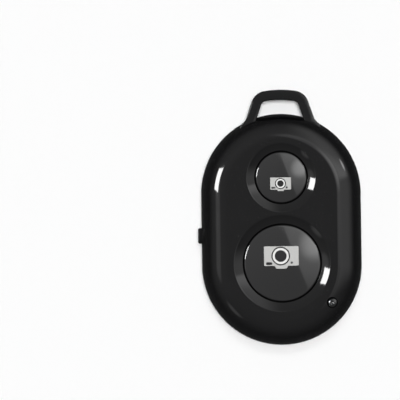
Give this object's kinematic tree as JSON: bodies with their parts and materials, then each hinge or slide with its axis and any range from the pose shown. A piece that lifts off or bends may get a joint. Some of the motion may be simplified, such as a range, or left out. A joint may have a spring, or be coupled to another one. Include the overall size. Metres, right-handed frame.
{
  "type": "bluetooth camera shutter remote",
  "caption": "Pebble-shaped camera shutter remote with two round push buttons, a lanyard loop, a status light, a sliding power switch and a slide-off battery door.",
  "frame": {"origin": "on the plane of the flat back face, at the middle of the overall width and of the overall length with the loop", "axes": "+Z out of the front face with the buttons, +Y towards the lanyard loop, +X to the right seen from the front"},
  "size_m": [0.0327, 0.0511, 0.011],
  "materials": {
    "front_shell": "glossy black moulded plastic",
    "back_shell": "glossy black moulded plastic",
    "battery_door": "satin black moulded plastic",
    "button": "glossy charcoal plastic with a white printed pictogram",
    "power_knob": "matt black",
    "light_pipe": "clear moulded acrylic",
    "circuit_board": "green solder mask over glass fibre",
    "copper": "printed copper under mask",
    "chip": "black moulded epoxy",
    "can_steel": "nickel-plated can",
    "capacitor": "fired ceramic with tinned ends",
    "resistor": "black glaze with tinned ends",
    "led_package": "clear resin over a white base",
    "switch_base": "black moulded nylon",
    "tinned_lead": "tinned brass lead",
    "spring_steel": "polished spring steel",
    "switch_plunger": "black moulded nylon",
    "switch_cover": "bright stamped steel",
    "contact_brass": "gold-flashed phosphor bronze",
    "switch_lever": "ivory moulded acetal",
    "cell_steel": "satin nickel-plated steel",
    "cell_gasket": "dark polypropylene",
    "cell_core": "pressed oxide pellet with its lithium disc"
  },
  "bodies": {
    "housing": {"front_shell": "front_shell", "back_shell": "back_shell", "light_pipe": "light_pipe", "circuit_board": "circuit_board", "antenna_trace": "copper", "bluetooth_chip": "chip", "crystal": "can_steel", "chip_capacitors": "capacitor", "chip_resistors": "resistor", "led_package": "led_package", "small_switch_base": "switch_base", "small_switch_terminals": "tinned_lead", "small_switch_dome": "spring_steel", "small_switch_cover": "switch_cover", "large_switch_base": "switch_base", "large_switch_terminals": "tinned_lead", "large_switch_dome": "spring_steel", "large_switch_cover": "switch_cover", "slide_switch_base": "switch_base", "slide_switch_terminals": "tinned_lead", "slide_switch_cover": "switch_cover", "battery_can": "cell_steel", "battery_gasket": "cell_gasket", "battery_cap": "cell_steel", "battery_core": "cell_core", "positive_contact": "contact_brass", "negative_contact": "contact_brass"},
    "door": {"battery_door": "battery_door"},
    "small_key": {"small_button": "button", "small_switch_plunger": "switch_plunger"},
    "large_key": {"large_button": "button", "large_switch_plunger": "switch_plunger"},
    "slider": {"power_knob": "power_knob", "slide_switch_lever": "switch_lever", "slide_switch_wiper": "contact_brass"}
  },
  "joints": [
    {"name": "small_button_press", "type": "slide", "parent": "housing", "child": "small_key", "axis": [0, 0, -1], "range_m": [0, 0.0003], "stiffness_N_per_m": 300, "springref_m": -0.0008, "deforming": ["small_switch_dome"]},
    {"name": "large_button_press", "type": "slide", "parent": "housing", "child": "large_key", "axis": [0, 0, -1], "range_m": [0, 0.0003], "stiffness_N_per_m": 300, "springref_m": -0.0008, "deforming": ["large_switch_dome"]},
    {"name": "power_switch_slide", "type": "slide", "parent": "housing", "child": "slider", "axis": [0, -1, 0], "range_m": [0, 0.0015]},
    {"name": "battery_door_slide", "type": "slide", "parent": "housing", "child": "door", "axis": [0, -1, 0], "range_m": [0, 0.028]}
  ]
}
